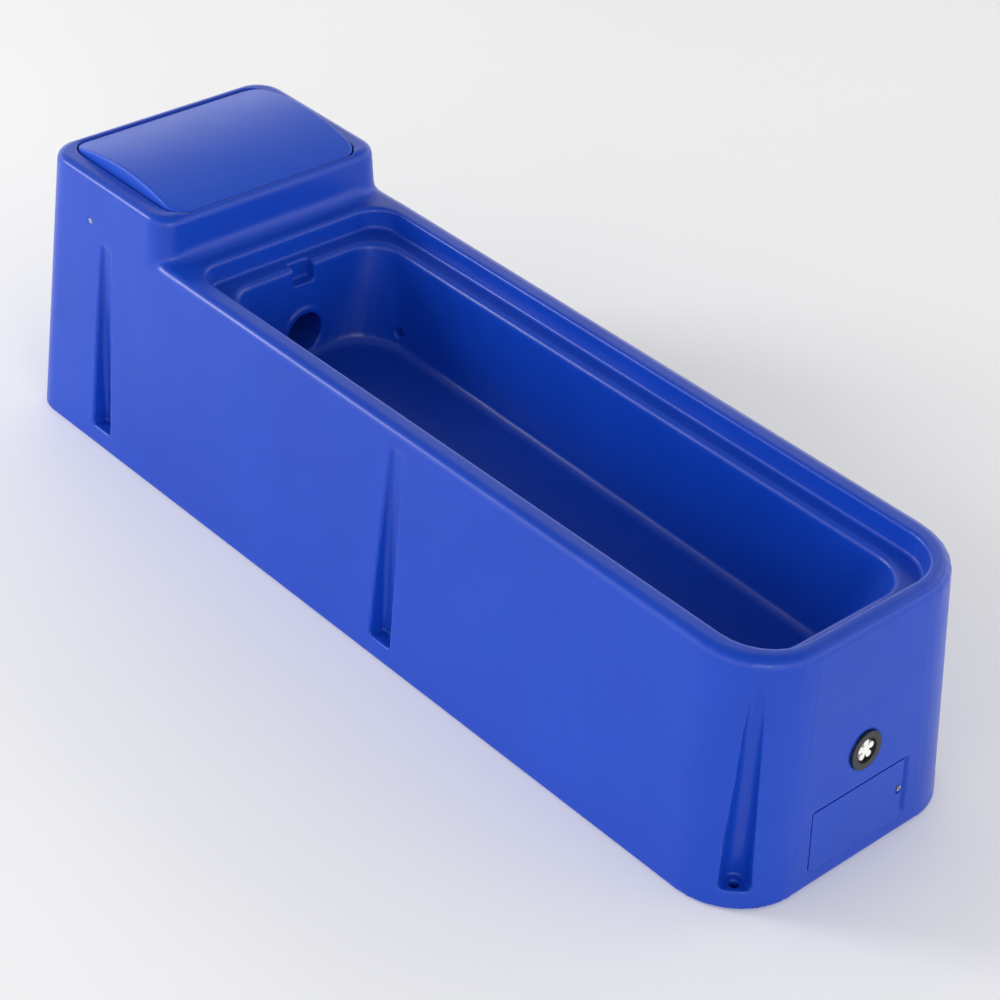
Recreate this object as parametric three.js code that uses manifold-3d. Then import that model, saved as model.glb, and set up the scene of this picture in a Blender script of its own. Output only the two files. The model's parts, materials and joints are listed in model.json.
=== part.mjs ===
// A livestock water trough: a double-skinned polyethylene body with a drinking bowl and a service box,
// a drop-in lid, a drain outlet with its bung, a flush access cover and a float valve.
// Millimetres. X runs along the trough from the service box to the drain end, Z is up from the floor,
// and the origin is at the middle of the footprint.
import * as THREE from 'three';
import { mergeVertices } from 'three/addons/utils/BufferGeometryUtils.js';
import Module from 'manifold-3d';

const wasm = await Module();
wasm.setup();

// ---- Driving dimensions: the body's outer faces lean in as they rise
const length = 1500;
const width = 456;
const rimHeight = 368;
const boxHeight = 435;
const skin = 6;
const sideDraft = 0.055;
const drainDraft = 0.09;
const serviceDraft = 0.02;
const serviceCorner = 45;
const drainCorner = 105;
const rimRound = 13;
const footRound = 4;

// ---- The bowl: a lip recess, a ledge, and the drinking bowl with a floor that falls to the drain
const lip = { back: -420, front: 692, half: 174, backCorner: 42, frontCorner: 74, deep: 33, round: 4 };
const bowl = { back: -386, front: 658, half: 140, backCorner: 46, frontCorner: 58, draft: 0.06 };
const deepCorner = { gain: 4, most: 88 };
const ledgeHeight = rimHeight - lip.deep;
const ledgeRound = 9;
const floorRound = 16;
const floorAtService = 187;
const floorAtDrain = 162;
const notch = { half: 19, deep: 17, high: 30 };
const passage = { radius: 31, height: 226, collar: 40, proud: 2 };

// ---- Small holes left for a bracket: in the notch's back, in the ledge, and a hexagon in the side wall
const notchScrew = { across: -8, drop: 8, radius: 2.4, deep: 5 };
const ledgeScrew = { x: -333, y: 157, radius: 2.6, deep: 5 };
const wallSocket = { x: -313, z: 211, radius: 7.5, deep: 9 };

// ---- The service box: its front face leans back and flares into the deck
const box = { foot: -452, front: -460, corner: 36, round: 11, flare: 16 };
const lidSeat = { back: -726, front: -468, half: 173, corner: 30, deep: 26 };
const chamber = { back: -718, front: -478, half: 164, corner: 24, floor: 188, round: 12 };
const hollowTop = 396;

// ---- The lid: a shallow vault with a slotted leg down each side, clamped by a screw and a nut
const lid = { gap: 2, wall: 4, rise: 21, edgeDrop: 2 };
const leg = { x: -625, half: 20, thick: 4, bottom: 353, slot: 2.3 };
const lidScrew = { height: 366, shank: 1.6, head: 4, headDeep: 3, sink: 3.4, around: 1.3, boss: 12,
  into: 12 };
const lidNut = { radius: 4.4, deep: 3.4 };
const crossSlot = { long: 2.4, half: 0.5, deep: 1.2 };

// ---- Pockets moulded into the walls: each widens and deepens from its blunt top down to a shelf
const pocketTop = 334;
const bluntTop = 12;
const uprightFoot = 8;
const pocketLeftEdges = [-595, 52];
const sidePocket = { shelf: 32, topDeep: 3, deep: 24, topHalf: 11, footHalf: 17.5, flare: 7 };
const anchorPocket = { shelf: 30, topDeep: 3, deep: 32, topHalf: 12, footHalf: 17, flare: 13 };
const anchorHole = { inward: 15, radius: 6.7, boss: 20 };
const baseRecess = { edge: 50, high: 14, serviceCorner: 20, drainCorner: 66 };

// ---- The drain outlet, measured along its own axis from the end wall's outer face
const drain = { up: 173, seat: -4.5, innerSeat: -70, end: -90, barrel: 22.5, bore: 18.4, throat: 14 };
const flange = { radius: 27.5, thick: 4.5, around: 0.6 };
const drainSeal = { thick: 2.5, outerRadius: 27, innerRadius: 31, nutRadius: 34, nutThick: 10 };
const sump = { back: 596, front: 662, half: 38, floor: 132, round: 36, reach: 60, boss: 40 };
const bung = { seat: -38, face: -10, groove: 4.6, grooveAt: -33, ring: 1.8, lobes: 5, spread: 10.6 };
const bungStar = { hub: 7, lobe: 4.8, front: 0.5 };

// ---- The flush cover over the hand hole, measured out from, across and up the sloping end wall
const cover = { half: 92, low: 26, high: 118, right: 84, gap: 1, thick: 3.6, sink: 4.2 };
const coverFrame = { around: 10, deep: 14 };
const handHole = { half: 62, low: 42, high: 102 };
const coverScrew = { across: 79, up: 72, scallop: 8, floor: 1.4, shank: 2, head: 4, headDeep: 2, long: 12,
  hole: 16, socket: 2, socketDeep: 1.4 };
const peg = { across: -82, ups: [48, 96], radius: 3, long: 8 };

// ---- The float valve in the service box, on the wall at +Y
const valve = { x: -533, z: 334, recess: 185, recessHalf: 22, boss: 26 };
const tail = { radius: 10.4, end: 208.5, bore: 6.5, start: 149 };
const valveBarrel = { radius: 15, from: 84, to: 150, bore: 8.3 };
const spout = { y: 133, radius: 8.5, bore: 5.8, drop: 30 };
const seatRing = { face: 141, back: 146, radius: 8, hole: 2.5 };
const pistonTravel = 6.5;
const piston = { radius: 7.9, cup: 6.9, end: 88, washerDeep: 4.1, washerRadius: 6.6 };
const pivot = { y: 104, z: valve.z - 15, pin: 2, hole: 2.3, near: 5, far: 9, head: 2.8 };
const ear = { half: 10, low: -17, high: -5 };
const pistonSlot = { from: -9.6, to: -0.6, half: 3, low: -9, high: 5.5 };
const lever = { reach: 190, droop: 22, rod: 3, boss: 7, half: 2.3, web: 24, webHalf: 3.2 };
const finger = { back: -2.8, front: 1.6, high: 16.5 };
const floatRadius = 45;
const armNut = { radius: 7, thick: 6 };
const tailSeal = { radius: 15.6, thick: 2.7, nut: 8 };

// The gap between touching pieces, the play round a pin or a thread, and how far a cutting tool overruns
const gap = 0.3;
const play = 0.4;
const past = 20;

// ---- Materials
const plastic = (color, roughness) => new THREE.MeshStandardMaterial({ color, roughness, metalness: 0 });
const metal = (color, roughness) => new THREE.MeshStandardMaterial({ color, roughness, metalness: 1 });
const bluePolyethylene = plastic(0x1a3aa8, 0.38);
const lidPolyethylene = plastic(0x2348b4, 0.45);
const blackNylon = plastic(0x1b1c1e, 0.5);
const paleNylon = plastic(0xe4e1d4, 0.5);
const orangePlastic = plastic(0xd9601c, 0.4);
const blackRubber = plastic(0x141414, 0.8);
const brass = metal(0xb08d4a, 0.35);
const steel = metal(0xb9bcc0, 0.3);

// ---- Making solids
function solidOf(geometry) {
  const bare = geometry.clone();
  bare.deleteAttribute('normal');
  bare.deleteAttribute('uv');
  const merged = mergeVertices(bare, 1e-4);
  return new wasm.Manifold(new wasm.Mesh({
    numProp: 3,
    vertProperties: new Float32Array(merged.attributes.position.array),
    triVerts: new Uint32Array(merged.index.array),
  }));
}

function joined(...solids) {
  return solids.reduce((whole, piece) => whole.add(piece));
}

function cut(solid, ...tools) {
  return tools.reduce((rest, tool) => rest.subtract(tool), solid);
}

// A block between two opposite corners, given in either order, and placed by a matrix.
function block(cornerA, cornerB, matrix = new THREE.Matrix4()) {
  const size = cornerA.map((value, i) => Math.abs(cornerB[i] - value));
  const geometry = new THREE.BoxGeometry(...size);
  geometry.translate(...cornerA.map((value, i) => (value + cornerB[i]) / 2));
  return solidOf(geometry.applyMatrix4(matrix));
}

// A round bar between two points, or a bar with flats when it has few sides.
function bar(from, to, radius, sides = 28) {
  const start = new THREE.Vector3(...from);
  const span = new THREE.Vector3(...to).sub(start);
  const turn = new THREE.Quaternion();
  turn.setFromUnitVectors(new THREE.Vector3(0, 1, 0), span.clone().normalize());
  const geometry = new THREE.CylinderGeometry(radius, radius, span.length(), sides);
  geometry.applyQuaternion(turn);
  geometry.translate(...start.addScaledVector(span, 0.5).toArray());
  return solidOf(geometry);
}

// A washer, or a nut when it has six sides.
function washer(from, to, radius, hole, sides = 28) {
  const before = from.map((value, i) => 2 * value - to[i]);
  const after = to.map((value, i) => 2 * value - from[i]);
  return cut(bar(from, to, radius, sides), bar(before, after, hole));
}

function meshOf(name, solid, material) {
  const { vertProperties, triVerts } = solid.getMesh();
  const geometry = new THREE.BufferGeometry();
  geometry.setAttribute('position', new THREE.BufferAttribute(new Float32Array(vertProperties), 3));
  geometry.setIndex(new THREE.BufferAttribute(new Uint32Array(triVerts), 1));
  geometry.computeVertexNormals();
  const mesh = new THREE.Mesh(geometry, material);
  mesh.name = name;
  return mesh;
}

// A rounded rectangle, anticlockwise from above, with one corner radius at each end.
function outline(back, front, half, backCorner, frontCorner) {
  const steps = 7;
  const corners = [
    [front - frontCorner, half - frontCorner, frontCorner],
    [back + backCorner, half - backCorner, backCorner],
    [back + backCorner, backCorner - half, backCorner],
    [front - frontCorner, frontCorner - half, frontCorner],
  ];
  return corners.flatMap(([x, y, radius], quarter) => Array.from({ length: steps + 1 }, (_, step) => {
    const angle = (quarter + step / steps) * Math.PI / 2;
    return [x + radius * Math.cos(angle), y + radius * Math.sin(angle)];
  }));
}

// Lifts an outline to a level height, or to a height that changes along X.
function lifted(points, heightAt) {
  return points.map(([x, y]) => [x, y, typeof heightAt === 'function' ? heightAt(x) : heightAt]);
}

// A closed solid through a stack of convex rings, lowest first.
function loft(rings) {
  const count = rings[0].length;
  const faces = [];
  for (let level = 0; level < rings.length - 1; level += 1) {
    for (let i = 0; i < count; i += 1) {
      const here = level * count + i;
      const beside = level * count + ((i + 1) % count);
      faces.push(here, beside, beside + count, here, beside + count, here + count);
    }
  }
  const top = (rings.length - 1) * count;
  for (let i = 1; i < count - 1; i += 1) {
    faces.push(0, i + 1, i, top, top + i, top + i + 1);
  }
  const geometry = new THREE.BufferGeometry();
  geometry.setAttribute('position', new THREE.Float32BufferAttribute(rings.flat(2), 3));
  geometry.setIndex(faces);
  return solidOf(geometry);
}

// A quarter-round edge, as how far each ring is set in from the wall and down from the top.
function quarterRound(radius) {
  const steps = 3;
  return Array.from({ length: steps + 1 }, (_, step) => {
    const angle = step / steps * Math.PI / 2;
    return { inset: radius * (1 - Math.cos(angle)), drop: radius * (1 - Math.sin(angle)) };
  });
}

const roundedTop = (top, radius, ringAt) => quarterRound(radius)
  .map(({ inset, drop }) => ringAt(top - drop, inset));
const roundedMouth = (top, radius, ringAt) => quarterRound(radius)
  .map(({ inset, drop }) => ringAt(top - drop, -inset));

// ---- The body's outer shape. Set in by the skin, the same shapes bound the hollow inside.
const halfWidthAt = (z) => width / 2 - sideDraft * z;
const drainFaceAt = (z) => length / 2 - drainDraft * z;
const serviceFaceAt = (z) => serviceDraft * z - length / 2;
const boxLean = (box.foot - box.front) / (boxHeight - rimHeight);

function lowerBody(inset, bottom, top, topRound) {
  const ringAt = (z, more) => lifted(outline(serviceFaceAt(z) + inset + more, drainFaceAt(z) - inset - more,
    halfWidthAt(z) - inset - more, serviceCorner - inset - more, drainCorner - inset - more), z);
  return loft([ringAt(bottom, footRound), ringAt(bottom + footRound, 0),
    ...roundedTop(top, topRound, ringAt)]);
}

function serviceBox(inset, bottom, top, topRound) {
  const ringAt = (z, more) => lifted(outline(serviceFaceAt(z) + inset + more,
    box.foot - boxLean * (z - rimHeight) - inset - more, halfWidthAt(z) - inset - more,
    serviceCorner - inset - more, box.corner - inset - more), z);
  return loft([ringAt(bottom, 0), ...roundedTop(top, topRound, ringAt)]);
}

// The concave sweep from the deck up into the front of the box.
function boxFlare() {
  const backOfSweep = box.foot - 100;
  const ringAt = (rise, reach) => lifted(outline(backOfSweep, box.foot - boxLean * rise + reach,
    halfWidthAt(rimHeight) - rimRound, 20, box.corner), rimHeight + rise);
  return loft([ringAt(-skin, box.flare),
    ...quarterRound(box.flare).map(({ inset, drop }) => ringAt(inset, drop))]);
}

// ---- What is hollowed out. Grown by the skin, each hollow also bounds the space inside the walls.
function lipRecess(grow) {
  const ringAt = (z, inset) => lifted(outline(lip.back - grow + inset, lip.front + grow - inset,
    lip.half + grow - inset, lip.backCorner + grow - inset, lip.frontCorner + grow - inset), z);
  return loft([ringAt(ledgeHeight - grow, 2), ...roundedMouth(rimHeight, lip.round, ringAt),
    ringAt(rimHeight + past, -lip.round)]);
}

function bowlHollow(grow) {
  const foot = bowl.draft * (ledgeHeight - floorAtDrain);
  const floorAt = (x) => floorAtDrain
    + (floorAtService - floorAtDrain) * (bowl.front - x) / (bowl.front - bowl.back);
  const cornerAt = (corner, inset) => (inset < 0 ? corner - inset
    : Math.min(corner + inset * deepCorner.gain, deepCorner.most)) + grow;
  const ringAt = (heightAt, inset) => lifted(outline(bowl.back - grow + inset, bowl.front + grow - inset,
    bowl.half + grow - inset, cornerAt(bowl.backCorner, inset), cornerAt(bowl.frontCorner, inset)), heightAt);
  const floorRings = quarterRound(floorRound).reverse()
    .map(({ inset, drop }) => ringAt((x) => floorAt(x) - grow + drop, foot + inset));
  return loft([...floorRings, ...roundedMouth(ledgeHeight, ledgeRound, ringAt),
    ringAt(ledgeHeight + 1, -ledgeRound)]);
}

function seatHollow(grow) {
  const points = outline(lidSeat.back - grow, lidSeat.front + grow, lidSeat.half + grow,
    lidSeat.corner + grow, lidSeat.corner + grow);
  return loft([lifted(points, boxHeight - lidSeat.deep - grow), lifted(points, boxHeight + past)]);
}

function chamberHollow(grow) {
  const ringAt = (z, inset) => lifted(outline(chamber.back - grow + inset, chamber.front + grow - inset,
    chamber.half + grow - inset, chamber.corner + grow - inset, chamber.corner + grow - inset), z);
  const floorRings = quarterRound(chamber.round).reverse()
    .map(({ inset, drop }) => ringAt(chamber.floor - grow + drop, inset));
  return loft([...floorRings, ringAt(boxHeight - lidSeat.deep + 1, 0)]);
}

const endWall = new THREE.Matrix4().makeRotationY(-Math.atan(drainDraft)).setPosition(length / 2, 0, 0);
const onEndWall = (out, across, up) => new THREE.Vector3(out, across, up).applyMatrix4(endWall).toArray();

const onDrain = (out) => onEndWall(out, 0, drain.up);
const onCoverScrew = (out) => onEndWall(out, coverScrew.across, coverScrew.up);
const onPassage = (x) => [x, 0, passage.height];
const onLidScrew = (y) => [leg.x, y, lidScrew.height];
const onValve = (y, dx = 0, dz = 0) => [valve.x + dx, y, valve.z + dz];

function sumpHollow(grow) {
  return joined(
    block([sump.back - grow, -sump.half - grow, sump.floor - grow],
      [sump.front + grow, sump.half + grow, floorAtDrain + past]),
    bar(onDrain(drain.innerSeat - sump.reach), onDrain(drain.innerSeat), sump.round + grow, 36),
  );
}

function notchHollow(grow) {
  return block([bowl.back - notch.deep - grow, -notch.half - grow, ledgeHeight - notch.high - grow],
    [bowl.back + past, notch.half + grow, ledgeHeight + 1]);
}

function inletRecess(grow) {
  const reach = valve.recessHalf + grow;
  return block([valve.x - reach, valve.recess - grow, valve.z - reach],
    [valve.x + reach, width / 2 + past, valve.z + reach]);
}

function underRecess(grow) {
  const edge = baseRecess.edge - grow;
  const points = outline(edge - length / 2, length / 2 - edge, width / 2 - edge,
    baseRecess.serviceCorner + grow, baseRecess.drainCorner + grow);
  return loft([lifted(points, -past), lifted(points, baseRecess.high + grow)]);
}

// The back of a pocket's section, as points out from the wall and across the pocket.
const flatBack = (deep, half) => [[-deep, half], [-deep, -half]];
const roundBack = (deep, half) => Array.from({ length: 9 }, (_, step) => {
  const angle = (0.5 + step / 8) * Math.PI;
  return [half - deep + half * Math.cos(angle), half * Math.sin(angle)];
});

// How far down a pocket a height is, as a share that stays 1 over the upright foot above the shelf.
function pocketShare(shape, z) {
  return Math.min(1, (pocketTop - z) / (pocketTop - uprightFoot - shape.shelf));
}

const pocketHalf = (shape, z) => shape.topHalf + (shape.footHalf - shape.topHalf) * pocketShare(shape, z);

// A pocket faces outwards along (outX, outY) from the point of the wall that wallAt gives.
function pocketHollow(wallAt, [outX, outY], shape, backOf, grow) {
  const ringAt = (z, deep) => {
    const [wallX, wallY] = wallAt(z > shape.shelf + uprightFoot ? z : shape.shelf);
    const half = pocketHalf(shape, z) + grow;
    const mouth = [[past, -half - shape.flare], [past, half + shape.flare]];
    return [...mouth, ...backOf(deep + grow, half)].map(([out, across]) => [
      wallX + out * outX - across * outY, wallY + out * outY + across * outX, z]);
  };
  return loft([ringAt(shape.shelf - grow, shape.deep), ringAt(shape.shelf + uprightFoot, shape.deep),
    ringAt(pocketTop, shape.topDeep), ringAt(pocketTop + bluntTop, -1)]);
}

const diagonal = Math.SQRT1_2;

// The point of the rounded corner at the drain end, set in from its surface along the diagonal.
function cornerPoint(side, z, inward) {
  const reach = (drainCorner - inward) * diagonal;
  return [drainFaceAt(z) - drainCorner + reach, side * (halfWidthAt(z) - drainCorner + reach)];
}

function pockets(grow) {
  return [-1, 1].flatMap((side) => [
    ...pocketLeftEdges.map((x) => pocketHollow((z) => [x + pocketHalf(sidePocket, z),
      side * halfWidthAt(z)], [0, side], sidePocket, flatBack, grow)),
    pocketHollow((z) => cornerPoint(side, z, 0), [diagonal, side * diagonal], anchorPocket, roundBack,
      grow),
  ]);
}

function tankBody() {
  const sides = [-1, 1];
  const anchorAt = (side, z) => [...cornerPoint(side, anchorPocket.shelf, anchorHole.inward), z];
  const drainBoss = bar(onDrain(drain.innerSeat - past), onDrain(past), sump.boss);
  const passageWall = bar(onPassage(chamber.front - past), onPassage(bowl.back + past),
    passage.radius + skin);
  const inletBoss = bar(onValve(chamber.half - skin), onValve(width / 2), valve.boss);
  const coverWall = block([-coverFrame.deep, -cover.half - coverFrame.around, cover.low - coverFrame.around],
    [past, cover.half + coverFrame.around, cover.high + coverFrame.around], endWall);
  const lidBosses = sides.map((side) => bar(
    onLidScrew(side * (chamber.half - skin)), onLidScrew(side * width / 2),
    lidScrew.boss));
  const anchorBosses = sides.map((side) => bar(anchorAt(side, 0), anchorAt(side, anchorPocket.shelf),
    anchorHole.boss));

  const insideWalls = cut(
    joined(lowerBody(skin, skin, rimHeight - skin, rimRound - skin),
      serviceBox(skin, rimHeight - past * 2, hollowTop, box.round - skin)),
    lipRecess(skin), bowlHollow(skin), chamberHollow(skin), sumpHollow(skin), notchHollow(skin),
    inletRecess(skin), underRecess(skin), ...pockets(skin),
    drainBoss, passageWall, inletBoss, coverWall, ...lidBosses, ...anchorBosses,
  );

  const bowlWall = bowl.back + bowl.draft * (ledgeHeight - passage.height);
  const collar = bar(onPassage(bowl.back - skin), onPassage(bowlWall + passage.proud), passage.collar, 36);
  const passageHole = bar(onPassage(chamber.front - past), onPassage(bowlWall + past), passage.radius, 36);
  const drainHole = bar(onDrain(drain.innerSeat - past), onDrain(past), drain.barrel + play);
  const drainFace = bar(onDrain(drain.seat), onDrain(past), flange.radius + flange.around, 36);
  const inletHole = bar(onValve(chamber.half - past), onValve(valve.recess + past), tail.radius + play);
  const coverRecess = block([-cover.sink, -cover.half, cover.low], [past, cover.half, cover.high], endWall);
  const handOpening = block([-past * 2, -handHole.half, handHole.low], [past, handHole.half, handHole.high],
    endWall);
  const coverScrewHole = bar(onCoverScrew(-coverScrew.hole), onCoverScrew(0), coverScrew.shank + play, 16);
  const pegHoles = peg.ups.map((up) => bar(onEndWall(-cover.sink - peg.long - 1, peg.across, up),
    onEndWall(0, peg.across, up), peg.radius + play, 16));
  const lidScrewHoles = sides.flatMap((side) => [
    bar(onLidScrew(side * (chamber.half - past)), onLidScrew(side * width / 2), lidScrew.shank + play, 16),
    bar(onLidScrew(side * (halfWidthAt(lidScrew.height) - lidScrew.sink)), onLidScrew(side * width / 2),
      lidScrew.head + lidScrew.around, 20),
  ]);
  const anchorHoles = sides.map((side) => bar(anchorAt(side, -past),
    anchorAt(side, anchorPocket.shelf + past), anchorHole.radius, 24));
  const notchFace = bowl.back - notch.deep;
  const onNotch = (x) => [x, notchScrew.across, ledgeHeight - notchScrew.drop];
  const notchHole = bar(onNotch(notchFace - notchScrew.deep), onNotch(notchFace + 3), notchScrew.radius, 14);
  const onLedge = (z) => [ledgeScrew.x, ledgeScrew.y, z];
  const ledgeHole = bar(onLedge(ledgeHeight - ledgeScrew.deep), onLedge(ledgeHeight + 3), ledgeScrew.radius,
    14);
  const sideWall = bowl.half - bowl.draft * (ledgeHeight - wallSocket.z);
  const onSideWall = (y) => [wallSocket.x, y, wallSocket.z];
  const socketBoss = bar(onSideWall(sideWall - 1), onSideWall(sideWall + wallSocket.deep + 4),
    wallSocket.radius + 4);
  const socketHole = bar(onSideWall(sideWall - past), onSideWall(sideWall + wallSocket.deep),
    wallSocket.radius, 6);

  const outer = joined(lowerBody(0, 0, rimHeight, rimRound), serviceBox(0, rimHeight - past * 3, boxHeight,
    box.round), boxFlare());
  const hollowed = cut(outer, cut(insideWalls, socketBoss), lipRecess(0), bowlHollow(0), chamberHollow(0),
    seatHollow(0));
  const fitted = cut(joined(hollowed, collar), sumpHollow(0), notchHollow(0), inletRecess(0),
    underRecess(0), ...pockets(0));
  return cut(fitted, passageHole, drainHole, drainFace, inletHole, coverRecess, handOpening,
    coverScrewHole, ...pegHoles, ...lidScrewHoles, ...anchorHoles, notchHole, ledgeHole, socketHole);
}

// ---- The lid
function lidVault(inset, edgeHeight, rise) {
  const back = lidSeat.back + lid.gap;
  const front = lidSeat.front - lid.gap;
  const halfChord = (front - back) / 2;
  const radius = (halfChord ** 2 + rise ** 2) / (2 * rise);
  const sweep = Math.asin(halfChord / radius);
  const half = lidSeat.half - lid.gap - inset;
  const foot = boxHeight - lidSeat.deep + gap - (inset > 0 ? past : 0);
  const corner = lidSeat.corner - lid.gap - inset;
  const points = outline(back + inset, front - inset, half, corner, corner);
  const walls = loft([lifted(points, foot), lifted(points, edgeHeight + rise + past)]);
  const profile = new THREE.Shape();
  profile.moveTo(-halfChord - 1, -past * 3);
  profile.lineTo(halfChord + 1, -past * 3);
  profile.lineTo(halfChord + 1, 0);
  profile.absarc(0, rise - radius, radius, Math.PI / 2 - sweep, Math.PI / 2 + sweep, false);
  profile.lineTo(-halfChord - 1, 0);
  const vault = new THREE.ExtrudeGeometry(profile, { depth: half * 2 + past, bevelEnabled: false,
    curveSegments: 22 });
  vault.translate(0, 0, -half - past / 2);
  vault.rotateX(Math.PI / 2);
  vault.translate((back + front) / 2, 0, edgeHeight);
  return walls.intersect(solidOf(vault));
}

function serviceLid() {
  const seat = boxHeight - lidSeat.deep + gap;
  const edge = boxHeight - lid.edgeDrop;
  const shell = cut(lidVault(0, edge, lid.rise), lidVault(lid.wall, edge - lid.wall, lid.rise));
  const legs = [-1, 1].map((side) => {
    const outerFace = side * (chamber.half - gap);
    const innerFace = side * (chamber.half - gap - leg.thick);
    const skirt = side * (lidSeat.half - lid.gap - 1);
    const joint = seat + 6;
    const strap = block([leg.x - leg.half, innerFace, leg.bottom], [leg.x + leg.half, outerFace, joint]);
    const web = block([leg.x - leg.half, innerFace, seat], [leg.x + leg.half, skirt, joint]);
    const slotEnds = [innerFace - side, outerFace + side];
    const slot = joined(
      block([leg.x - leg.slot, slotEnds[0], leg.bottom - 1],
        [leg.x + leg.slot, slotEnds[1], lidScrew.height]),
      bar(onLidScrew(slotEnds[0]), onLidScrew(slotEnds[1]), leg.slot, 20),
    );
    return cut(joined(strap, web), slot);
  });
  return joined(shell, ...legs);
}

function lidScrewSolid(side) {
  const headSeat = halfWidthAt(lidScrew.height) - lidScrew.sink + gap;
  const at = (y, dx = 0, dz = 0) => [leg.x + dx, side * y, lidScrew.height + dz];
  const slotFloor = headSeat + lidScrew.headDeep - crossSlot.deep;
  const { long, half } = crossSlot;
  const cross = [[long, half], [half, long]].map(([dx, dz]) => block(at(slotFloor, -dx, -dz),
    at(slotFloor + past, dx, dz)));
  const head = bar(at(headSeat), at(headSeat + lidScrew.headDeep), lidScrew.head, 20);
  const shank = bar(at(chamber.half - lidScrew.into), at(headSeat + 1), lidScrew.shank, 16);
  return cut(joined(head, shank), ...cross);
}

function lidNutSolid(side) {
  const face = chamber.half - 2 * gap - leg.thick;
  return washer(onLidScrew(side * face), onLidScrew(side * (face - lidNut.deep)), lidNut.radius,
    lidScrew.shank + gap, 6);
}

// ---- The drain outlet, from the outside in
const outerSeal = drain.seat + gap;
const innerSeal = drain.innerSeat - gap;
const flangeBack = outerSeal + drainSeal.thick + gap;
const flangeFace = flangeBack + flange.thick;

function drainBush() {
  const tube = joined(bar(onDrain(flangeBack), onDrain(flangeFace), flange.radius, 36),
    bar(onDrain(drain.end), onDrain(flangeBack + 1), drain.barrel));
  return cut(tube, bar(onDrain(bung.seat), onDrain(past), drain.bore),
    bar(onDrain(drain.end - past), onDrain(bung.seat + 1), drain.throat));
}

function drainBung() {
  const plug = cut(bar(onDrain(bung.seat + gap), onDrain(bung.face), drain.bore - play),
    washer(onDrain(bung.grooveAt - 2.4), onDrain(bung.grooveAt + 2.4), drain.bore + 2,
      drain.bore - bung.groove));
  const lobes = Array.from({ length: bung.lobes }, (_, lobe) => {
    const angle = lobe / bung.lobes * Math.PI * 2;
    const at = (out) => onEndWall(out, bung.spread * Math.sin(angle),
      drain.up + bung.spread * Math.cos(angle));
    return bar(at(bung.face - 1), at(bungStar.front), bungStar.lobe, 14);
  });
  return joined(plug, bar(onDrain(bung.face - 1), onDrain(bungStar.front), bungStar.hub, 20), ...lobes);
}

function bungRing() {
  const radius = drain.bore - bung.ring - play;
  const ring = new THREE.TorusGeometry(radius, bung.ring, 10, 28);
  ring.rotateY(Math.PI / 2);
  ring.translate(bung.grooveAt, 0, drain.up);
  return solidOf(ring.applyMatrix4(endWall));
}

// ---- The access cover
const coverBack = -cover.sink + gap;
const coverScrewSeat = coverBack + coverScrew.floor;

function accessCover() {
  const plate = block([coverBack, -cover.half + cover.gap, cover.low + cover.gap],
    [coverBack + cover.thick, cover.right, cover.high - cover.gap], endWall);
  const pegs = peg.ups.map((up) => bar(onEndWall(coverBack - peg.long, peg.across, up),
    onEndWall(coverBack + 1, peg.across, up), peg.radius, 16));
  const scallop = bar(onCoverScrew(coverScrewSeat), onCoverScrew(past), coverScrew.scallop, 24);
  const hole = bar(onCoverScrew(-past), onCoverScrew(past), coverScrew.shank + gap, 16);
  return cut(joined(plate, ...pegs), scallop, hole);
}

function coverScrewSolid() {
  const seat = coverScrewSeat + gap;
  const face = seat + coverScrew.headDeep;
  const head = bar(onCoverScrew(seat), onCoverScrew(face), coverScrew.head, 20);
  const shank = bar(onCoverScrew(seat - coverScrew.long), onCoverScrew(seat + 1), coverScrew.shank, 14);
  return cut(joined(head, shank), bar(onCoverScrew(face - coverScrew.socketDeep), onCoverScrew(face + 1),
    coverScrew.socket, 6));
}

// ---- The float valve: its axis runs along Y through the wall of the service box
const pistonFace = seatRing.face - gap - pistonTravel;
const onPivot = (dx) => [valve.x + dx, pivot.y, pivot.z];

function valveBody() {
  const outer = joined(bar(onValve(tail.start), onValve(tail.end), tail.radius),
    bar(onValve(valveBarrel.from), onValve(valveBarrel.to), valveBarrel.radius),
    bar(onValve(spout.y), onValve(spout.y, 0, -spout.drop), spout.radius, 20));
  const ears = [-1, 1].map((side) => joined(
    block(onValve(pivot.y - ear.half, side * pivot.near, ear.low),
      onValve(pivot.y + ear.half, side * pivot.far, ear.high)),
    bar(onPivot(side * pivot.near), onPivot(side * pivot.far), lever.boss, 20),
  ));
  const leverSlot = block(onValve(valveBarrel.from - past, -pivot.near, -past - lever.boss),
    onValve(pivot.y + past, pivot.near, 0));
  return cut(joined(outer, ...ears), bar(onValve(seatRing.back - 2), onValve(tail.end + past), tail.bore),
    bar(onValve(valveBarrel.from - past), onValve(seatRing.back), valveBarrel.bore),
    bar(onValve(spout.y), onValve(spout.y, 0, -spout.drop - 1), spout.bore, 18), leverSlot,
    bar(onPivot(-past), onPivot(past), pivot.hole, 14));
}

function valvePiston() {
  const cupFloor = pistonFace - piston.washerDeep - gap;
  const stem = bar(onValve(piston.end), onValve(cupFloor + 2.4), piston.radius);
  const cup = bar(onValve(cupFloor), onValve(cupFloor + past), piston.cup);
  const leverSlot = block(onValve(pivot.y + pistonSlot.from, -pistonSlot.half, pistonSlot.low),
    onValve(pivot.y + pistonSlot.to, pistonSlot.half, pistonSlot.high));
  return cut(stem, cup, leverSlot);
}

function leverPin() {
  const end = pivot.far + 2;
  return joined(bar(onPivot(-end), onPivot(end), pivot.pin, 14),
    bar(onPivot(pivot.far + gap), onPivot(end), pivot.head, 16));
}

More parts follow.
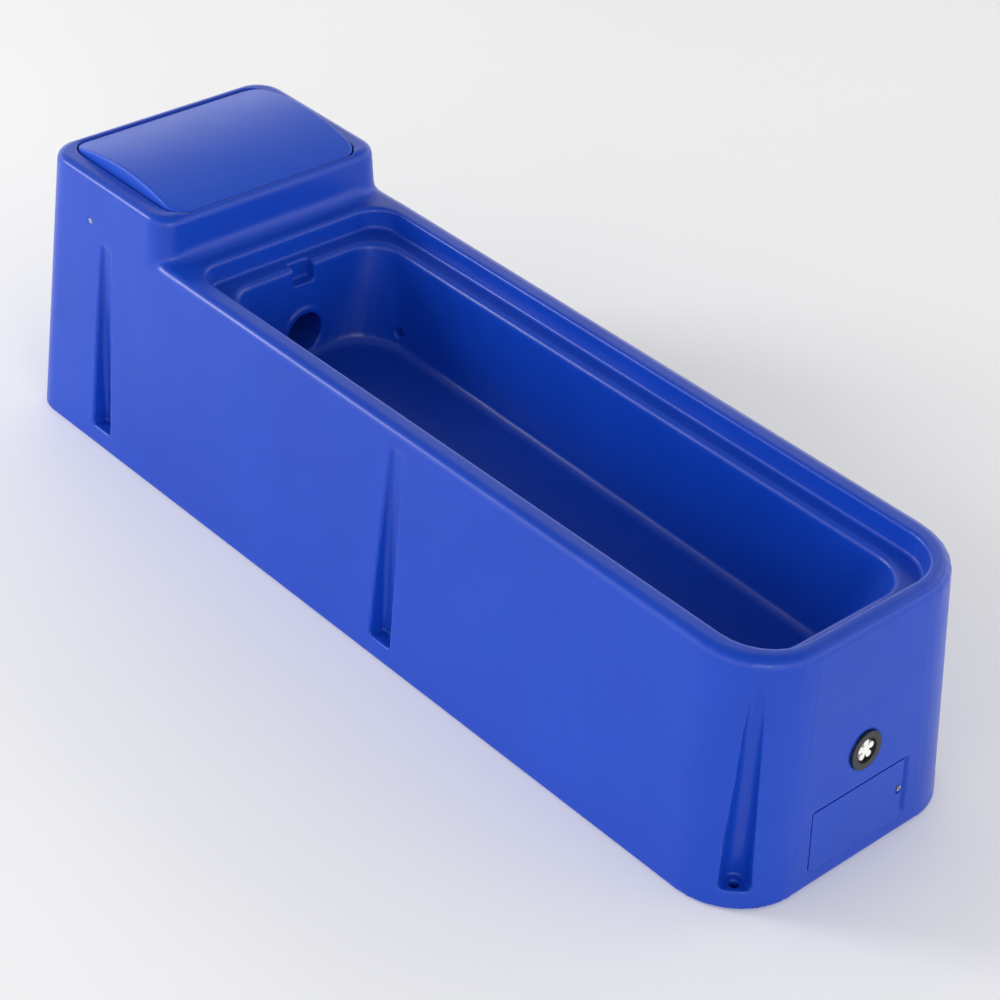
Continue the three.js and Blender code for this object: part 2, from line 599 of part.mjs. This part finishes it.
// The arm, its float and its nut are drawn about the pivot with the arm level.
function floatArm() {
  const fingerBar = block([-lever.half, finger.back, 0], [lever.half, finger.front, finger.high]);
  const hub = bar([-lever.half, 0, 0], [lever.half, 0, 0], lever.boss, 20);
  const web = block([-lever.half, -lever.web, -lever.webHalf], [lever.half, 0, lever.webHalf]);
  const rod = bar([0, 2 - lever.web, 0], [0, past - lever.reach, 0], lever.rod, 14);
  return cut(joined(fingerBar, hub, web, rod), bar([-past, 0, 0], [past, 0, 0], pivot.hole, 14));
}

function floatBall() {
  const ball = new THREE.SphereGeometry(floatRadius, 28, 18);
  ball.translate(0, -lever.reach, 0);
  return cut(solidOf(ball), bar([0, past - lever.reach - 1, 0], [0, 0, 0], lever.rod + gap, 14));
}

function floatNut() {
  const face = floatRadius - lever.reach + gap;
  return washer([0, face, 0], [0, face + armNut.thick, 0], armNut.radius, lever.rod + gap, 6);
}

// ---- The assembly
const trough = new THREE.Group();

function add(name, solid, material, holder = trough) {
  holder.add(meshOf(name, solid, material));
}

add('tank_body', tankBody(), bluePolyethylene);
add('service_lid', serviceLid(), lidPolyethylene);
for (const [name, side] of [['left', -1], ['right', 1]]) {
  add(`lid_screw_${name}`, lidScrewSolid(side), steel);
  add(`lid_nut_${name}`, lidNutSolid(side), steel);
}

const backNutFace = innerSeal - drainSeal.thick - gap;
add('drain_outer_washer', washer(onDrain(outerSeal), onDrain(outerSeal + drainSeal.thick),
  drainSeal.outerRadius, drain.barrel + gap), blackRubber);
add('drain_bush', drainBush(), blackNylon);
add('drain_inner_washer', washer(onDrain(innerSeal), onDrain(innerSeal - drainSeal.thick),
  drainSeal.innerRadius, drain.barrel + gap), blackRubber);
add('drain_back_nut', washer(onDrain(backNutFace), onDrain(backNutFace - drainSeal.nutThick),
  drainSeal.nutRadius, drain.barrel + gap, 6), blackNylon);
add('drain_bung', drainBung(), paleNylon);
add('bung_o_ring', bungRing(), blackRubber);

add('access_cover', accessCover(), bluePolyethylene);
add('access_cover_screw', coverScrewSolid(), steel);

for (const [name, face, way] of [['outer', valve.recess + gap, 1], ['inner', chamber.half - gap, -1]]) {
  const sealEnd = face + way * tailSeal.thick;
  const nutFace = sealEnd + way * gap;
  add(`inlet_${name}_washer`, washer(onValve(face), onValve(sealEnd), tailSeal.radius, tail.radius + gap),
    blackRubber);
  add(`inlet_${name}_nut`, washer(onValve(nutFace), onValve(nutFace + way * tailSeal.nut), tailSeal.radius,
    tail.radius + gap, 6), brass);
}
add('valve_body', valveBody(), brass);
add('valve_seat', washer(onValve(seatRing.face), onValve(seatRing.back - gap), seatRing.radius,
  seatRing.hole), paleNylon);
add('valve_piston', valvePiston(), brass);
add('piston_washer', bar(onValve(pistonFace - piston.washerDeep), onValve(pistonFace), piston.washerRadius),
  blackRubber);
add('lever_pin', leverPin(), steel);

const arm = new THREE.Group();
arm.position.set(...onPivot(0));
arm.rotation.x = THREE.MathUtils.degToRad(lever.droop);
trough.add(arm);
add('float_arm', floatArm(), brass, arm);
add('float_ball', floatBall(), orangePlastic, arm);
add('float_nut', floatNut(), brass, arm);

export default trough;
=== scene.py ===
"""The looks of a livestock water trough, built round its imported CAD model: a rotomoulded blue
polyethylene body with a drinking bowl, a service box with a vaulted lid, a drain outlet with a white
star bung, a flush access cover and a brass float valve. Metres, +X towards the drain end, +Z up."""
import json
import math

import bpy
import numpy as np
from mathutils import Matrix, Vector


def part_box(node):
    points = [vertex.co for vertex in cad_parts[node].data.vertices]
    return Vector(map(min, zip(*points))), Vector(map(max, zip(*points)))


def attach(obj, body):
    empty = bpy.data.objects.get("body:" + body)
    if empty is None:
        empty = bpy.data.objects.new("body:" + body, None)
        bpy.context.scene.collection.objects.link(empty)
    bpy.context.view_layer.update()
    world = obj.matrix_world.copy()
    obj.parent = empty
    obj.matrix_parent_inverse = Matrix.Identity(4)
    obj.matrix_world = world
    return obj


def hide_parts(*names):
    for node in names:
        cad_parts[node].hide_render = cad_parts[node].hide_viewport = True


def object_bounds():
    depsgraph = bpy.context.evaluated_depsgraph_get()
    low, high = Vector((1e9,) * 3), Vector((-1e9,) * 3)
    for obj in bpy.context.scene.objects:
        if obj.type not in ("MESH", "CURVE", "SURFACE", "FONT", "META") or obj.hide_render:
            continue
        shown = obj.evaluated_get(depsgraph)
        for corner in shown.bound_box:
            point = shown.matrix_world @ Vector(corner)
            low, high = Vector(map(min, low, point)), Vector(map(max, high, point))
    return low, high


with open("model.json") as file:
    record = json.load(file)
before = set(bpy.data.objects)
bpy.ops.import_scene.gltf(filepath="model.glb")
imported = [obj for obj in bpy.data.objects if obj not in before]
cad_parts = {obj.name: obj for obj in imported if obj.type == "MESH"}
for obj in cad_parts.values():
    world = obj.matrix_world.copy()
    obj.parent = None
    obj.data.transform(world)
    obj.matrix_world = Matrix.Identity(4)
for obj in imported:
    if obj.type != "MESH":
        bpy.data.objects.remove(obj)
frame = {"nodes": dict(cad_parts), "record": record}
cad_low, cad_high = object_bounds()
nodes = frame["nodes"]
record = frame["record"]
scene = bpy.context.scene

# ---- Camera: the photograph's viewing angle
AZIMUTH = 44.41
ELEVATION = 34.98
ROLL = 5.3
LENS = 97.25
DISTANCE = 3.906
AIM = Vector((-0.0181, 0.0752, 0.0948))

# ---- How evenly each moulding is remeshed, and how far its edges are relaxed
BODY_VOXEL = 0.0025
BODY_ROUNDS = 3
BODY_KEPT = 0.15
SOFT_ROUNDS = 50
LID_VOXEL = 0.0022
LID_ROUNDS = 6
LID_KEPT = 0.2
FLOAT_VOXEL = 0.003
FLOAT_ROUNDS = 8
FLOAT_KEPT = 0.3
RELAX = 0.5
SOFT_LEVELS = 10

# ---- Edges sharper than this keep their crease, and get a bevel; the width is for nodes not in EDGE
SHARP = math.radians(42)
FINE_EDGE = 0.0003
EDGE = {"access_cover": 0.0007, "drain_bush": 0.0011, "drain_bung": 0.0009, "float_arm": 0.0005}


# ---- Materials. Scales are repeats in a metre, depths are in metres
CLOUDS, MOTTLE, SCUFFS, SKIN, WAVES = 3.2, 21.0, 62.0, 620.0, 7.0
WAVE_DEPTH = 0.0022
SPECKLE_LIFT = 1.06
RUBBED = (0.1, 0.2, 0.6)
FINE_MOTTLE, FINE_GRAIN = 120.0, 1500.0
TARNISH, TURNING = 75.0, 260.0
FLOOR_CLOUDS = 1.4
# The Mix node has sockets of the same names for every kind of data: these are the ones for colours
MIX_FIRST, MIX_SECOND, MIX_RESULT = 6, 7, 2


def node_material(name):
    material = bpy.data.materials.new(name)
    material.use_nodes = True
    tree = material.node_tree
    shader = tree.nodes["Principled BSDF"]
    return material, tree, shader


def placed(tree, kind, **values):
    """A new node with its sockets and settings given by name."""
    node = tree.nodes.new(kind)
    for key, value in values.items():
        if key in node.inputs:
            node.inputs[key].default_value = value
        else:
            setattr(node, key, value)
    return node


def noise(tree, where, scale, detail=2.0, roughness=0.5, distortion=0.0):
    node = placed(tree, "ShaderNodeTexNoise", Scale=scale, Detail=detail, Roughness=roughness,
                  Distortion=distortion)
    tree.links.new(where, node.inputs["Vector"])
    return node.outputs["Fac"]


def spread(tree, value, low, high, start=0.0, end=1.0):
    """Maps a value from start..end to low..high."""
    node = tree.nodes.new("ShaderNodeMapRange")
    for socket, number in zip(("From Min", "From Max", "To Min", "To Max"), (start, end, low, high)):
        node.inputs[socket].default_value = number
    tree.links.new(value, node.inputs["Value"])
    return node.outputs["Result"]


def blended(tree, share, first, second):
    """A colour between two colours, or two sockets."""
    node = placed(tree, "ShaderNodeMix", data_type="RGBA")
    for socket, colour in ((MIX_FIRST, first), (MIX_SECOND, second)):
        if isinstance(colour, bpy.types.NodeSocket):
            tree.links.new(colour, node.inputs[socket])
        else:
            node.inputs[socket].default_value = (*colour, 1)
    tree.links.new(share, node.inputs["Factor"])
    return node.outputs[MIX_RESULT]


def bumped(tree, heights):
    """A chain of bumps: pairs of a height socket and its depth in metres."""
    normal = None
    for height, depth in heights:
        node = placed(tree, "ShaderNodeBump", Strength=1.0, Distance=depth)
        tree.links.new(height, node.inputs["Height"])
        if normal is not None:
            tree.links.new(normal, node.inputs["Normal"])
        normal = node.outputs["Normal"]
    return normal


def polyethylene(name, deep, light, roughness, grain):
    """Rotomoulded plastic: cloudy colour, a fine grained skin, slow waves and pale rub marks."""
    material, tree, shader = node_material(name)
    where = tree.nodes.new("ShaderNodeNewGeometry").outputs["Position"]
    clouds = noise(tree, where, CLOUDS, 4.0, 0.55)
    mottle = noise(tree, where, MOTTLE, 2.0, 0.5)
    colour = blended(tree, spread(tree, clouds, 0.0, 1.0, 0.3, 0.7), deep, light)
    speckled = blended(tree, spread(tree, mottle, 0.0, 0.3, 0.3, 0.9), colour,
                       [channel * SPECKLE_LIFT for channel in light])
    stretch = placed(tree, "ShaderNodeMapping", Scale=(0.5, 1.0, 3.0), Rotation=(0.2, 0.5, 0.3))
    tree.links.new(where, stretch.inputs["Vector"])
    scuffs = noise(tree, stretch.outputs["Vector"], SCUFFS, 8.0, 0.72, 0.6)
    scuffed = spread(tree, scuffs, 0.0, 0.07, 0.7, 0.86)
    tree.links.new(blended(tree, scuffed, speckled, RUBBED), shader.inputs["Base Color"])
    tree.links.new(spread(tree, mottle, roughness - 0.02, roughness + 0.03, 0.2, 0.8),
                   shader.inputs["Roughness"])
    skin = noise(tree, where, SKIN, 1.0)
    waves = noise(tree, where, WAVES, 1.0)
    tree.links.new(bumped(tree, [(waves, WAVE_DEPTH), (skin, grain)]), shader.inputs["Normal"])
    shader.inputs["IOR"].default_value = 1.5
    shader.inputs["Specular IOR Level"].default_value = 0.34
    return material


def moulded(name, deep, light, roughness, grain=0.00005):
    """A small injection-moulded part: slight colour clouding and a fine matt grain."""
    material, tree, shader = node_material(name)
    where = tree.nodes.new("ShaderNodeNewGeometry").outputs["Position"]
    mottle = noise(tree, where, FINE_MOTTLE, 4.0)
    tree.links.new(blended(tree, mottle, deep, light), shader.inputs["Base Color"])
    tree.links.new(spread(tree, mottle, roughness - 0.08, roughness + 0.08, 0.3, 0.7),
                   shader.inputs["Roughness"])
    tree.links.new(bumped(tree, [(noise(tree, where, FINE_GRAIN), grain)]), shader.inputs["Normal"])
    return material


def metal(name, deep, light, roughness, brushed):
    """Turned or plated metal: uneven tarnish and fine turning marks."""
    material, tree, shader = node_material(name)
    where = tree.nodes.new("ShaderNodeNewGeometry").outputs["Position"]
    tarnish = noise(tree, where, TARNISH, 6.0, 0.65)
    stretch = placed(tree, "ShaderNodeMapping", Scale=(1.0, 14.0, 1.0))
    tree.links.new(where, stretch.inputs["Vector"])
    marks = noise(tree, stretch.outputs["Vector"], TURNING, 3.0)
    tree.links.new(blended(tree, spread(tree, tarnish, 0.0, 1.0, 0.35, 0.7), light, deep),
                   shader.inputs["Base Color"])
    tree.links.new(spread(tree, tarnish, roughness - 0.08, roughness + 0.14, 0.3, 0.75),
                   shader.inputs["Roughness"])
    tree.links.new(bumped(tree, [(marks, brushed)]), shader.inputs["Normal"])
    shader.inputs["Metallic"].default_value = 1.0
    return material


MATERIALS = {
    "blue_polyethylene": polyethylene(
        "blue_polyethylene", (0.003, 0.042, 0.39), (0.005, 0.052, 0.45), 0.3, 0.00002),
    "lid_polyethylene": polyethylene(
        "lid_polyethylene", (0.006, 0.056, 0.45), (0.009, 0.068, 0.51), 0.42, 0.00003),
    "cover_polyethylene": polyethylene(
        "cover_polyethylene", (0.004, 0.045, 0.4), (0.006, 0.055, 0.46), 0.34, 0.00003),
    "black_nylon": moulded("black_nylon", (0.012, 0.013, 0.015), (0.024, 0.025, 0.028), 0.38),
    "pale_nylon": moulded("pale_nylon", (0.78, 0.77, 0.73), (0.88, 0.87, 0.84), 0.4),
    "float_plastic": moulded("float_plastic", (0.62, 0.11, 0.015), (0.75, 0.16, 0.03), 0.35),
    "rubber_seal": moulded("rubber_seal", (0.012, 0.012, 0.012), (0.022, 0.022, 0.022), 0.75, 0.0001),
    "valve_brass": metal("valve_brass", (0.42, 0.27, 0.1), (0.72, 0.52, 0.24), 0.3, 0.00006),
    "steel_fastener": metal("steel_fastener", (0.42, 0.43, 0.45), (0.68, 0.69, 0.71), 0.26, 0.00004),
}
slot_of = {part["node"]: part["material_slot"] for part in record["subparts"]}
body_of = {node: body for body, members in record["behaviour"]["bodies"].items() for node in members}


def dressed(obj, slot_name):
    """Gives a piece its one material and the record's slot that it stands for."""
    obj.data.materials.clear()
    obj.data.materials.append(MATERIALS[slot_name])
    for polygon in obj.data.polygons:
        polygon.material_index = 0
    return obj


# ---- Mouldings: an even skin over the CAD solid, with its edges relaxed as rotomoulding leaves them
def linked(name, mesh):
    obj = bpy.data.objects.new(name, mesh)
    scene.collection.objects.link(obj)
    return obj


def with_modifiers_applied(obj):
    """Replaces the object's mesh with what its modifiers make of it."""
    bpy.context.view_layer.update()
    made = bpy.data.meshes.new_from_object(obj.evaluated_get(bpy.context.evaluated_depsgraph_get()))
    obj.modifiers.clear()
    obj.data = made
    return obj


def relaxed(obj, rounds, group=""):
    smooth = obj.modifiers.new("relax", "SMOOTH")
    smooth.factor = RELAX
    smooth.iterations = rounds
    smooth.vertex_group = group


def moulding(name, node, voxel, rounds, kept, soft_share=None, soft_rounds=0, settled=None):
    """soft_share gives, for points as rows, how much of the second, stronger relaxing each gets, and
    settled moves points onto the true curve of a surface that the CAD model gives in flats."""
    obj = linked(name, nodes[node].data.copy())
    remesh = obj.modifiers.new("even", "REMESH")
    remesh.mode = "VOXEL"
    remesh.voxel_size = voxel
    relaxed(obj, rounds)
    with_modifiers_applied(obj)
    if soft_share is not None:
        points = np.empty(len(obj.data.vertices) * 3, np.float32)
        obj.data.vertices.foreach_get("co", points)
        points = points.reshape(-1, 3)
        if settled is not None:
            points = settled(points)
            obj.data.vertices.foreach_set("co", points.ravel())
        share = soft_share(points)
        group = obj.vertex_groups.new(name="soft")
        for level in range(1, SOFT_LEVELS + 1):
            chosen = np.flatnonzero(np.round(share * SOFT_LEVELS) == level)
            group.add(chosen.tolist(), level / SOFT_LEVELS, "REPLACE")
        relaxed(obj, soft_rounds, "soft")
    thin = obj.modifiers.new("thin", "DECIMATE")
    thin.ratio = kept
    with_modifiers_applied(obj)
    obj.vertex_groups.clear()
    obj.data.shade_smooth()
    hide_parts(node)
    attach(obj, body_of[node])
    return dressed(obj, slot_of[node])


# The foot of the service box lies this far in front of the lid and below its crest. The softening
# is full up to SOFT_END - 1 flares from there, and has faded out at SOFT_END flares
LID_TO_FOOT = 0.018
CREST_TO_DECK = 0.086
FLARE = 0.034
SOFT_END = 1.4
lid_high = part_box("service_lid")[1]


def soft_places(points):
    """The foot of the service box, where its front sweeps out into the deck."""
    x, _, z = points.T
    reach = np.hypot(x - lid_high[0] - LID_TO_FOOT, z - lid_high[2] + CREST_TO_DECK) / FLARE
    return np.clip(SOFT_END - reach, 0, 1)


# The drain end's corners: their radius, the slopes of the walls they join, how far inside the true
# curve the CAD model's flats lie, and the heights over which the settling fades out under the rim
CORNER = 0.105
END_SLOPE = 0.09
SIDE_SLOPE = 0.055
FLATS = 0.0012
FADE_FROM, FADE_TO = 0.33, 0.352


def round_corners(points):
    """Moves the corners' flats out to the round."""
    x, y, z = points.T.copy()
    side = np.sign(y)
    along = x - (cad_high[0] - END_SLOPE * z - CORNER)
    across = np.abs(y) - (cad_high[1] - SIDE_SLOPE * z - CORNER)
    reach = np.hypot(along, across)
    at_corner = (along > 0) & (across > 0) & (np.abs(reach - CORNER) < FLATS)
    share = np.clip((FADE_TO - z) / (FADE_TO - FADE_FROM), 0, 1) * at_corner
    stretch = 1 + share * (CORNER / np.maximum(reach, FLATS) - 1)
    points[:, 0] += along * (stretch - 1)
    points[:, 1] += side * across * (stretch - 1)
    return points


moulding("trough_shell", "tank_body", BODY_VOXEL, BODY_ROUNDS, BODY_KEPT, soft_places, SOFT_ROUNDS,
         round_corners)
moulding("lid_shell", "service_lid", LID_VOXEL, LID_ROUNDS, LID_KEPT)
moulding("float_shell", "float_ball", FLOAT_VOXEL, FLOAT_ROUNDS, FLOAT_KEPT)


# ---- Carried-over CAD nodes get a bevelled edge and their material
for node, obj in nodes.items():
    if obj.hide_render:
        continue
    bevel = obj.modifiers.new("edge", "BEVEL")
    bevel.width = EDGE.get(node, FINE_EDGE)
    bevel.segments = 3
    bevel.limit_method = "ANGLE"
    bevel.angle_limit = SHARP
    bevel.harden_normals = True
    obj.data.shade_smooth()
    obj.data.set_sharp_from_angle(angle=SHARP)
    dressed(obj, slot_of[node])


# ---- The stage: a bright band round the horizon and a dim ceiling, as in a product studio
HORIZON = 2.0
ZENITH = 0.28
BAND_TOP, CEILING = 0.15, 0.8
FLOOR_HALF = 14.0

floor_mesh = bpy.data.meshes.new("floor")
floor_mesh.from_pydata([(-FLOOR_HALF, -FLOOR_HALF, 0), (FLOOR_HALF, -FLOOR_HALF, 0),
                        (FLOOR_HALF, FLOOR_HALF, 0), (-FLOOR_HALF, FLOOR_HALF, 0)], [], [(0, 1, 2, 3)])
floor = linked("floor", floor_mesh)
floor_material, floor_tree, floor_shader = node_material("pale_floor")
floor_where = floor_tree.nodes.new("ShaderNodeNewGeometry").outputs["Position"]
floor_tree.links.new(blended(floor_tree, noise(floor_tree, floor_where, FLOOR_CLOUDS, 3.0),
                             (0.93, 0.93, 0.93), (0.96, 0.96, 0.96)),
                     floor_shader.inputs["Base Color"])
floor_shader.inputs["Roughness"].default_value = 0.75
floor_mesh.materials.append(floor_material)

world = bpy.data.worlds.new("studio")
scene.world = world
world.use_nodes = True
background = world.node_tree.nodes["Background"]
background.inputs["Color"].default_value = (1.0, 1.0, 1.0, 1)
sky = placed(world.node_tree, "ShaderNodeSeparateXYZ")
world.node_tree.links.new(placed(world.node_tree, "ShaderNodeTexCoord").outputs["Generated"],
                          sky.inputs["Vector"])
world.node_tree.links.new(
    spread(world.node_tree, sky.outputs["Z"], HORIZON, ZENITH, BAND_TOP, CEILING),
    background.inputs["Strength"])


def softbox(name, place, aim, size, power):
    light = bpy.data.lights.new(name, "AREA")
    light.shape = "RECTANGLE"
    light.size, light.size_y = size
    light.energy = power
    obj = linked(name, light)
    obj.location = place
    obj.rotation_mode = "QUATERNION"
    obj.rotation_quaternion = (Vector(aim) - Vector(place)).to_track_quat("-Z", "Y")
    return obj


softbox("left_light", (-3.0, -2.6, 1.9), (-0.4, -0.1, 0.2), (1.2, 1.0), 70)
softbox("end_light", (3.2, -1.6, 1.5), (0.6, 0, 0.25), (0.9, 0.9), 16)
softbox("back_light", (0.8, 3.0, 2.6), (0, 0, 0.3), (2.4, 0.4), 8)

camera = bpy.data.cameras.new("camera")
camera.lens = LENS
camera.sensor_width = 36.0
camera.clip_start = 0.05
camera.clip_end = 60.0
holder = linked("camera", camera)
azimuth, elevation = math.radians(AZIMUTH), math.radians(ELEVATION)
back = Vector((math.sin(azimuth) * math.cos(elevation), -math.cos(azimuth) * math.cos(elevation),
               math.sin(elevation)))
level = Vector((math.cos(azimuth), math.sin(azimuth), 0))
upright = back.cross(level)
roll = math.radians(ROLL)
right = level * math.cos(roll) + upright * math.sin(roll)
above = upright * math.cos(roll) - level * math.sin(roll)
holder.matrix_world = Matrix.Translation(AIM + back * DISTANCE) @ Matrix(
    (right, above, back)).transposed().to_4x4()
scene.camera = holder
scene.view_settings.view_transform = "Standard"
